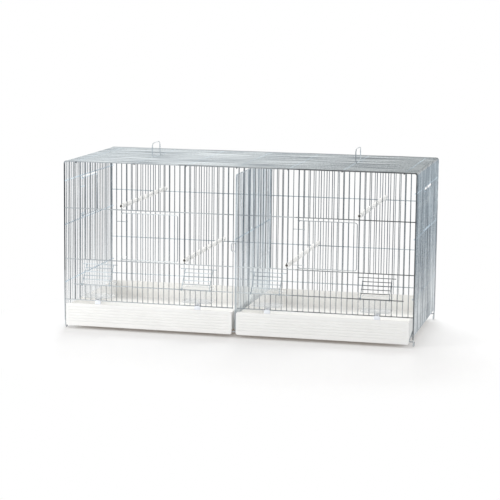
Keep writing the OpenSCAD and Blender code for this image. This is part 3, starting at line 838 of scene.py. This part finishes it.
def clip(n):
    """T-shaped tab over the lowest rail, with the tongue that carries the feeder."""
    shape = Shape()
    x = station_x(n) + PITCH_W / 2
    y0 = RAIL_Y - RAIL_R - SEAT_GAP - CLIP_T
    y1 = y0 + CLIP_T
    foot_z, top = TRAY_HIGH_Z + SEAT_GAP, CLIP_Z + CLIP_T
    height = top - foot_z
    slab(shape, x - CLIP_HALF_W, x + CLIP_HALF_W, y0, FRONT + 26, CLIP_Z, top)
    half = [*CLIP_FOOT, (CLIP_HALF_W, height)]
    outline = half + [(-a, b) for a, b in reversed(half)]
    levels = [(y0, 0.45), (y0 + 0.15, 0.15), (y0 + 0.5, 0)]
    levels += [(y1 - 0.5, 0), (y1 - 0.15, 0.15), (y1, 0.45)]
    rings = []
    for y, shrink in levels:
        ring = []
        for a, b in outline:
            inward = math.copysign(min(shrink, abs(a)), a)
            up = shrink if b < height / 2 else -shrink
            ring.append((x + a - inward, y, foot_z + b + up))
        rings.append(ring)
    shape.skin(rings[::-1])
    return shape


def feeder(n):
    """Clear cup with a small lip."""
    shape = Shape()
    x, z = station_x(n), CLIP_Z + CLIP_T + SEAT_GAP
    half, d, h = FEEDER_W / 2, FEEDER_D, FEEDER_H
    wall, lip = FEEDER_WALL, FEEDER_LIP
    y = FRONT + BAR_R + 0.8 + lip
    # Inset and height of the outside from the bottom up, then over the lip and down
    profile = [(2.2, 0), (0.7, 0.5), (0.1, 2.0), (0, 4.5), (0, h / 2), (0, h - 2.8)]
    profile += [(-0.3, h - 2.3), (-lip + 0.2, h - 2.0), (-lip, h - 1.6), (-lip, h - 0.5)]
    profile += [(-lip + 0.4, h), (wall - 0.5, h), (wall, h - 0.5), (wall, h / 2)]
    profile += [(wall + 0.1, wall + 3), (wall + 0.8, wall + 0.7), (wall + 2.8, wall)]
    made = []
    for inset, level in profile:
        x0, x1, y0, y1 = x - half + inset, x + half - inset, y + inset, y + d - inset
        outline = rounded(x0, x1, y0, y1, [max(FEEDER_R - inset, 1.0)] * 4)
        made.append(shape.ring([(a, b, z + level) for a, b in outline]))
    for k, (low, high) in enumerate(zip(made, made[1:])):
        shape.band(low, high, RIM_HIGHLIGHT if k in RIM_BANDS else CLEAR_WALL)
    shape.face(reversed(made[0]), RIM_HIGHLIGHT)
    shape.face(made[-1], RIM_HIGHLIGHT)
    return shape


for n in range(1, 5):
    # Flaps 1 to 3 take softly highlit zinc and flap 4 darker wires: painted light and
    # shade
    legs, wires = SOFT_HIGHLIGHT_ZINC["Z"], SOFT_HIGHLIGHT_ZINC["X"]
    if n == 4:
        legs, wires = ZINC["Z"], DEEP_SHADE_ZINC["X"]
    wire_piece(f"feeder_flap_{n}", flap(n), legs, wires)
    piece(f"feeder_clip_{n}_tab", clip(n), f"feeder_clip_{n}", [CLIP])
    piece(f"feeder_{n}_cup", feeder(n), f"feeder_{n}", [CLEAR, CLEAR_HIGHLIGHT])


# ---- Perches ----

PERCH_SIDES = 32
# A perch's end from the bore outwards: distance from the end, and radius
PERCH_END = ((4.0, 3.2), (0.3, 3.25), (0, 3.6), (0, 5.5), (0.15, 5.8), (0.5, 5.98))
# Material indices of a perch: the rod, and its bore, painted dark brown as painted shade
# in the hole
PERCH_ROD, PERCH_BORE_PAINTED_SHADE = 0, 1
# Place along X of each perch, and height of the rails that it lies on
PERCHES = (
    (-21.5 * PITCH_W, REAR_RAILS[3]),
    (-9.5 * PITCH_W, REAR_RAILS[2]),
    (9.5 * PITCH_W, REAR_RAILS[2]),
    (22.5 * PITCH_W, REAR_RAILS[3]),
)
SLOT_HALF_W, SLOT_R = 1.4, 1.0


def perch(x, rail_z):
    """Rod from the front bars to the rear bars, bored at both ends."""
    shape = Shape()
    z = rail_z + RAIL_R + SEAT_GAP + PERCH_R
    y0, y1 = FRONT - 5.2, REAR + 5.2
    half = (y1 - y0) / 2
    profile = [(y0 + a, r) for a, r in PERCH_END]
    # The rod isn't quite even along its length
    for k in range(1, 12):
        profile.append((y0 + half * k / 6, 5.9 + 0.08 * math.sin(2.3 * k + x)))
    profile += [(y1 - a, r) for a, r in reversed(PERCH_END)]
    made = []
    for y, r in profile:
        ring = [(x + r * math.cos(a), y, z - r * math.sin(a)) for a in turn(PERCH_SIDES)]
        made.append(shape.ring(ring))
    last = len(made) - 1
    for k in range(last):
        mark = PERCH_BORE_PAINTED_SHADE if k in (0, last - 1) else PERCH_ROD
        shape.band(made[k + 1], made[k], mark)
    shape.face(made[0], PERCH_BORE_PAINTED_SHADE)
    shape.face(reversed(made[last]), PERCH_BORE_PAINTED_SHADE)
    return shape


def slotted(obj, x):
    """Cuts the slots that grip a bar out of both ends of a perch."""
    cutter = Shape()
    for y0, y1 in ((FRONT - 9, FRONT + 8), (REAR - 8, REAR + 9)):
        outline = rounded(-SLOT_HALF_W, SLOT_HALF_W, y0, y1, [SLOT_R] * 4, 4)
        cutter.skin([[(x + a, b, c) for a, b in outline] for c in (0, HEIGHT)])
    tool = shape_object("slot", cutter)
    cut = obj.modifiers.new("slots", "BOOLEAN")
    cut.operation = "DIFFERENCE"
    cut.solver = "EXACT"
    cut.object = tool
    graph = bpy.context.evaluated_depsgraph_get()
    made = bpy.data.meshes.new_from_object(obj.evaluated_get(graph))
    obj.modifiers.clear()
    obj.data = made
    made.set_sharp_from_angle(angle=math.radians(35))
    bpy.data.objects.remove(tool)


for n, (x, rail_z) in enumerate(PERCHES, 1):
    slotted(piece(f"perch_{n}_rod", perch(x, rail_z), f"perch_{n}", [PERCH, BORE_PAINTED_SHADE]), x)


# ---- Divider ----

FRAME_WELD, LINE_WELD = (1.55, 1.4, 1.7), (1.25, 2.0, 1.3)
LINE_END_WELD, RING_WELD = (1.0, 1.5, 1.5), (1.2, 0.9, 1.6)


def divider():
    """A frame with bars, and a rail on their left side."""
    shape = Shape()
    r, corner = DIVIDER_R, 5.0
    low, top = TRAY_SEAT_Z + r, DIVIDER_TOP
    y0, y1 = FRONT, REAR - BAR_R - 2 - r
    # The frame from its lower front corner to the rear, up, to the front and down:
    # each corner's middle and first angle, and the points between it and the next one
    frame_sides = (
        (y0 + corner, low + corner, 180, [(0, y0 + 130, low), (0, y0 + 260, low)]),
        (y1 - corner, low + corner, 270, [(0, y1, 150), (0, y1, 280)]),
        (y1 - corner, top - corner, 0, [(0, y0 + 260, top), (0, y0 + 130, top)]),
        (y0 + corner, top - corner, 90, [(0, y0, 280), (0, y0, 150)]),
    )
    path = []
    for y, z, start, points in frame_sides:
        path += arc((0, y, z), AY, AZ, corner, start, start + 90, 6) + points
    tube(shape, path, r, 14, closed=True, normal=AX)
    for j in range(1, GAPS_D):
        y = bar_y(j)
        bar(shape, (0, y, low), (0, y, top))
        for z in (low, top):
            weld(shape, (0, y, z), FRAME_WELD)
    shape.mark = RAILS
    z = DIVIDER_RAIL_Z
    for j in range(1, GAPS_D):
        weld(shape, (-0.3, bar_y(j), z), LINE_WELD)
    bar(shape, (-CROSS, y0, z), (-CROSS, y1, z), RAIL_R, 12)
    for y in (y0, y1):
        weld(shape, (-1.3, y, z), LINE_END_WELD)
    return shape


def divider_ring():
    """Pull ring in front of the divider's frame."""
    shape = Shape()
    r = RING_R
    x, y = -r, FRONT - DIVIDER_R - BAR_R - WELD_GAP
    path = arc((x, y, RING_Z + r), AX, AZ, r, 0, 180, 10) + [(x - r, y, RING_Z)]
    path += arc((x, y, RING_Z - r), AX, AZ, r, 180, 360, 10) + [(x + r, y, RING_Z)]
    tube(shape, path, BAR_R, 12, closed=True, normal=AY)
    for z in (RING_Z - 4, RING_Z + 4):
        weld(shape, (0, y + 0.8, z), RING_WELD)
    return shape


# The divider's bars and rail and the ring take lighter and bluish zinc: painted
# highlights
wire_piece("divider", divider(), SOFT_HIGHLIGHT_ZINC["Z"], BLUE_HIGHLIGHT_ZINC["Y"])
wire_piece("divider_ring", divider_ring(), BRIGHTLY_LIT_ZINC["Z"])


# ---- Trays ----

PLATE_BACK = FRONT - BAR_R - 3.0
PLATE_T, PLATE_R, PLATE_EDGE = 3.0, 6.0, 1.0
PLATE_H, PLATE_HALF = TRAY_HIGH_Z - TRAY_LOW_Z, TRAY_W / 2
GROOVES, GROOVE_W, GROOVE_DEPTH, BORDER = 6, 2.0, 0.7, 7.0
GROOVE_PITCH = (PLATE_H - 2 * BORDER) / GROOVES
# Rows of points near the plate's long edges, and across a groove
EDGE_ROWS = (0, 0.15, 0.5, 1.0, 1.8, 3.0, 4.5)
GROOVE_ROWS = (-1.3, -1.0, -0.75, -0.5, 0, 0.5, 0.75, 1.0, 1.3)
# Columns of points, as shares of the grooved width and of the border beside it
INNER_COLUMNS = (0.2, 0.4, 0.6, 0.8)
BORDER_COLUMNS = (0, 0.15, 0.35, 0.6, 0.8, 0.92, 1.0)
TUB_TOP, TUB_WALL, TUB_INSET = 62.0, 2.0, 4.0
TUB_FRONT_R, TUB_REAR_R = 3.0, 10.0
TRAY_MIDDLE, TRAY_SPLIT = -2.25, 10.5
# Material indices of a tray
TRAY_PLATE, TRAY_TUB = 0, 1


def smooth(t):
    """A soft step from 0 to 1."""
    t = min(max(t, 0.0), 1.0)
    return t * t * (3 - 2 * t)


def plate_recess(a, b):
    """How far the plate's front lies behind its foremost plane at (a, b)."""
    qa = abs(a) - (PLATE_HALF - PLATE_R)
    qb = abs(b - PLATE_H / 2) - (PLATE_H / 2 - PLATE_R)
    inside = PLATE_R - math.hypot(max(qa, 0), max(qb, 0)) - min(max(qa, qb), 0)
    recess = 0.0
    if inside < PLATE_EDGE:
        rest = PLATE_EDGE**2 - (PLATE_EDGE - inside) ** 2
        recess = PLATE_EDGE - math.sqrt(max(rest, 0))
    k = min(max(int((b - BORDER) / GROOVE_PITCH), 0), GROOVES - 1)
    off = abs(b - BORDER - GROOVE_PITCH * (k + 0.5))
    end = smooth((PLATE_HALF - BORDER - abs(a)) / 1.5)
    return recess + GROOVE_DEPTH * end * smooth((GROOVE_W / 2 + 0.25 - off) / 0.7)


def plate_columns(b):
    """Places of the points in the row at height b, from left to right."""
    inner = PLATE_HALF - BORDER
    near = min(b, PLATE_H - b, PLATE_R)
    half = PLATE_HALF - PLATE_R + math.sqrt(PLATE_R**2 - (PLATE_R - near) ** 2)
    columns = [inner * f for f in INNER_COLUMNS] + [inner - 1.5, inner - 0.75]
    columns += [inner + (half - inner) * f for f in BORDER_COLUMNS]
    return [-c for c in reversed(columns)] + [0.0] + columns


def tray_plate(shape, x):
    """The tray's front plate, with pressed grooves and rounded edges."""
    rows = {PLATE_H / 2, *EDGE_ROWS, *(PLATE_H - b for b in EDGE_ROWS)}
    for k in range(GROOVES):
        centre = BORDER + GROOVE_PITCH * (k + 0.5)
        rows.update(centre + off for off in GROOVE_ROWS)
    grid = []
    for b in sorted(rows):
        # The front is a little wavy, as a large thin moulding is
        wave = 0.12 * math.sin(b * 0.11 + x)
        row = []
        for a in plate_columns(b):
            y = PLATE_BACK - PLATE_T + plate_recess(a, b)
            y += wave * math.cos(a * 0.012) * (1 - abs(a) / 230)
            row.append((x + a, y, TRAY_LOW_Z + b))
        grid.append(shape.ring(row))
    for low, high in zip(grid, grid[1:]):
        shape.band(low, high, closed=False)
    edge = grid[0] + [r[-1] for r in grid[1:]]
    edge += grid[-1][-2::-1] + [r[0] for r in grid[-2:0:-1]]
    corners = [shape.points[k] for k in edge]
    back = shape.ring([(p.x, PLATE_BACK, p.z) for p in corners])
    shape.band(back, edge)
    shape.face(reversed(back))


def tray_tub(shape, x):
    """The open tub behind the plate."""
    half = PLATE_HALF - TUB_INSET
    front, rear = PLATE_BACK - 0.3, REAR - BAR_R - 7.0
    h, wall = TUB_TOP - TRAY_SEAT_Z, TUB_WALL
    # Inset and height of the outside from the bottom up, then down the inside
    profile = [(2.2, 0), (0.7, 0.5), (0.1, 1.8), (0, 4), (0, h - 0.7), (0.2, h - 0.15)]
    profile += [(0.6, h), (wall - 0.6, h), (wall - 0.1, h - 0.2), (wall, h - 0.8)]
    profile += [(wall, wall + 5), (wall + 0.3, wall + 2.6), (wall + 1.6, wall + 0.6)]
    profile += [(wall + 4.5, wall)]
    rings = []
    for inset, level in profile:
        radii = [max(TUB_FRONT_R - inset, 0.8)] * 2 + [max(TUB_REAR_R - inset, 2.0)] * 2
        x0, x1 = x - half + inset, x + half - inset
        outline = rounded(x0, x1, front + inset, rear - inset, radii, 8)
        rings.append([(a, b, TRAY_SEAT_Z + level) for a, b in outline])
    shape.skin(rings)


for side, side_name in SIDES:
    shape = Shape()
    x = TRAY_MIDDLE + side * (TRAY_SPLIT + TRAY_W) / 2
    shape.mark = TRAY_PLATE
    tray_plate(shape, x)
    shape.mark = TRAY_TUB
    tray_tub(shape, x)
    piece(f"tray_{side_name}_moulding", shape, "tray_" + side_name, [TRAY, TUB_PAINTED_BOUNCE], 50.0)


# ---- Floor, light and camera, in metres ----

WORLD_LIGHT = 0.80
FLOOR_HALF, FLOOR_COLOUR, FLOOR_LIFT = 40.0, (0.765, 0.79, 0.81), (0.15, 0.12, 0.095)
# The floor shows its shadows in an oval: its middle, its half sizes, and the share of
# these where it starts to turn white
OVAL_MIDDLE, OVAL_HALF, OVAL_EDGE = (0.08, -0.20), (0.78, 0.68), 0.68
WALL_RADIUS, WALL_HEIGHT, WALL_ANGLE, WALL_STEPS = 1.2, 1.3, 150, 50
BLUISH, BROWN, SKY = (0.46, 0.52, 0.57), (0.05, 0.045, 0.04), (0.85, 0.93, 0.98)
PALE, GREY = (1.25, 1.25, 1.21), (0.28, 0.31, 0.30)
# Name, place, target, size and power of each lamp
LAMPS = (
    ("key", (-0.6, 2.6, 2.6), (0, 0, 0.1), 1.5, 70),
    ("front", (-2.0, -1.7, 0.7), (-0.1, 0, 0.1), 0.9, 23),
    ("side", (2.2, 0.6, 2.4), (0.3, -0.2, 0.1), 1.2, 9),
)
FOCAL_PX, FRAME_PX, SENSOR_MM = 1762.6, 500, 36
CAMERA_TARGET, CAMERA_DISTANCE = (-0.0102, 0.0005, 0.1929), 4.592
AZIMUTH, ELEVATION, ROLL = (math.radians(a) for a in (13.44, 8.80, 0.61))


def seen_rays(tree):
    """1 for the rays that show a surface: to the camera, in metal, through plastic."""
    path = add_node(tree, "LightPath")
    value = path.outputs["Is Camera Ray"]
    for name in ("Is Glossy Ray", "Is Transmission Ray"):
        value = math_node(tree, "MAXIMUM", value, path.outputs[name])
    return value


def floor():
    """White floor that keeps the cage's shadow and is pure white further away."""
    s = FLOOR_HALF
    corners = [(-s, -s, 0), (s, -s, 0), (s, s, 0), (-s, s, 0)]
    obj = mesh_object("floor", corners, [(0, 1, 2, 3)])
    mat, tree, shader = material("floor_white")
    set_inputs(shader, {"Base Color": (*FLOOR_COLOUR, 1), "Roughness": 0.8})
    set_inputs(shader, {"Specular IOR Level": 0.0, "Emission Color": (*FLOOR_LIFT, 1)})
    seen = seen_rays(tree)
    tree.links.new(seen, shader.inputs["Emission Strength"])
    (x, y), (half_x, half_y) = OVAL_MIDDLE, OVAL_HALF
    scale, location = (1 / half_x, 1 / half_y, 1), (-x / half_x, -y / half_y, 0)
    where = add_node(tree, "TexCoord")
    mapping = add_node(tree, "Mapping", {"Scale": scale, "Location": location})
    length = add_node(tree, "VectorMath")
    length.operation = "LENGTH"
    away = add_node(tree, "MapRange", {"From Min": OVAL_EDGE, "From Max": 1.0})
    away.interpolation_type = "SMOOTHSTEP"
    white = add_node(tree, "Emission")
    mix = add_node(tree, "MixShader")
    tree.links.new(where.outputs["Object"], mapping.inputs["Vector"])
    tree.links.new(mapping.outputs["Vector"], length.inputs[0])
    tree.links.new(length.outputs["Value"], away.inputs["Value"])
    mask = math_node(tree, "MULTIPLY", away.outputs["Result"], seen)
    tree.links.new(mask, mix.inputs["Fac"])
    tree.links.new(shader.outputs["BSDF"], mix.inputs[1])
    tree.links.new(white.outputs["Emission"], mix.inputs[2])
    tree.links.new(mix.outputs["Shader"], tree.nodes["Material Output"].inputs["Surface"])
    obj.data.materials.append(mat)


def blend_colour(tree, factor, first, second):
    """Mixes two colours."""
    node = add_node(tree, "Mix")
    node.data_type = "RGBA"
    tree.links.new(factor, node.inputs["Factor"])
    for name, colour in (("A", first), ("B", second)):
        socket = next(i for i in node.inputs if i.name == name and i.type == "RGBA")
        tree.links.new(colour, socket)
    return next(o for o in node.outputs if o.type == "RGBA")


def between(tree, axis, start, end):
    """0 to 1 between two places along an axis of the object."""
    where = add_node(tree, "TexCoord")
    split = add_node(tree, "SeparateXYZ")
    node = add_node(tree, "MapRange", {"From Min": start, "From Max": end})
    tree.links.new(where.outputs["Object"], split.inputs[0])
    tree.links.new(split.outputs[axis], node.inputs["Value"])
    return node.outputs["Result"]


def studio_wall():
    """The room round the table, which only reflections show: light left, dark right."""
    points, faces = [], []
    # Each step has a point on the floor, one at the top and one in the roof
    for k in range(WALL_STEPS + 1):
        a = math.radians(-WALL_ANGLE + 2 * WALL_ANGLE * k / WALL_STEPS)
        x, y = WALL_RADIUS * math.sin(a), -WALL_RADIUS * math.cos(a)
        points += [(x, y, 0), (x, y, WALL_HEIGHT), (0.5 * x, 0.5 * y, 1.25 * WALL_HEIGHT)]
        if k:
            n = 3 * k
            faces += [(n - 3, n, n + 1, n - 2), (n - 2, n + 1, n + 2, n - 1)]
    faces.append([3 * k + 2 for k in range(WALL_STEPS + 1)])
    obj = mesh_object("studio_wall", points, faces)
    obj.visible_camera = False
    obj.visible_diffuse = False
    obj.visible_transmission = False
    obj.visible_shadow = False
    mat, tree, shader = material("studio_wall")
    set_inputs(shader, {"Base Color": (0, 0, 0, 1), "Specular IOR Level": 0.0})
    across = between(tree, "X", -WALL_RADIUS, WALL_RADIUS)
    stops = [(0.35, BLUISH), (0.58, BROWN), (0.8, BROWN)]
    low = ramp(tree, across, [*stops, (0.95, BLUISH)])
    middle = ramp(tree, across, [*stops, (0.95, SKY)])
    high = ramp(tree, across, [(0.2, PALE), (0.8, GREY)])
    colour = blend_colour(tree, between(tree, "Z", 0.08, 0.28), low, middle)
    colour = blend_colour(tree, between(tree, "Z", 0.6, 1.2), colour, high)
    strength = spread(tree, noise(tree, 1.3, 2.0), 0.75, 1.25)
    tree.links.new(colour, shader.inputs["Emission Color"])
    tree.links.new(strength, shader.inputs["Emission Strength"])
    obj.data.materials.append(mat)


def area_light(name, place, target, size, power):
    """A square lamp that the metal doesn't reflect."""
    lamp = bpy.data.lights.new(name, "AREA")
    lamp.shape = "SQUARE"
    lamp.size = size
    lamp.energy = power
    obj = bpy.data.objects.new(name, lamp)
    bpy.context.scene.collection.objects.link(obj)
    ray = Vector(target) - Vector(place)
    obj.location = place
    obj.rotation_euler = ray.to_track_quat("-Z", "Y").to_euler()
    obj.visible_glossy = False


def world():
    """White for what the camera, the metal and the plastic see, softer as a light."""
    studio = bpy.data.worlds.new("studio")
    bpy.context.scene.world = studio
    studio.use_nodes = True
    tree = studio.node_tree
    back = tree.nodes["Background"]
    strength = add_node(tree, "MapRange", {"To Min": WORLD_LIGHT, "To Max": 1.0})
    tree.links.new(seen_rays(tree), strength.inputs["Value"])
    tree.links.new(strength.outputs["Result"], back.inputs["Strength"])
    set_inputs(back, {"Color": (1, 1, 1, 1)})


def camera():
    """The camera of the photograph, solved from points of the cage."""
    level = math.cos(ELEVATION)
    back = Vector(
        (math.sin(AZIMUTH) * level, -math.cos(AZIMUTH) * level, math.sin(ELEVATION))
    )
    right = (-back).cross(AZ).normalized()
    up = right.cross(-back)
    turned_right = math.cos(ROLL) * right + math.sin(ROLL) * up
    turned_up = -math.sin(ROLL) * right + math.cos(ROLL) * up
    lens = bpy.data.cameras.new("camera")
    lens.sensor_width = SENSOR_MM
    lens.lens = FOCAL_PX * SENSOR_MM / FRAME_PX
    lens.clip_end = 100
    obj = bpy.data.objects.new("camera", lens)
    matrix = Matrix((turned_right, turned_up, back)).transposed().to_4x4()
    matrix.translation = Vector(CAMERA_TARGET) + back * CAMERA_DISTANCE
    obj.matrix_world = matrix
    bpy.context.scene.collection.objects.link(obj)
    bpy.context.scene.camera = obj


floor()
studio_wall()
for lamp in LAMPS:
    area_light(*lamp)
world()
camera()
bpy.context.scene.view_settings.view_transform = "Standard"
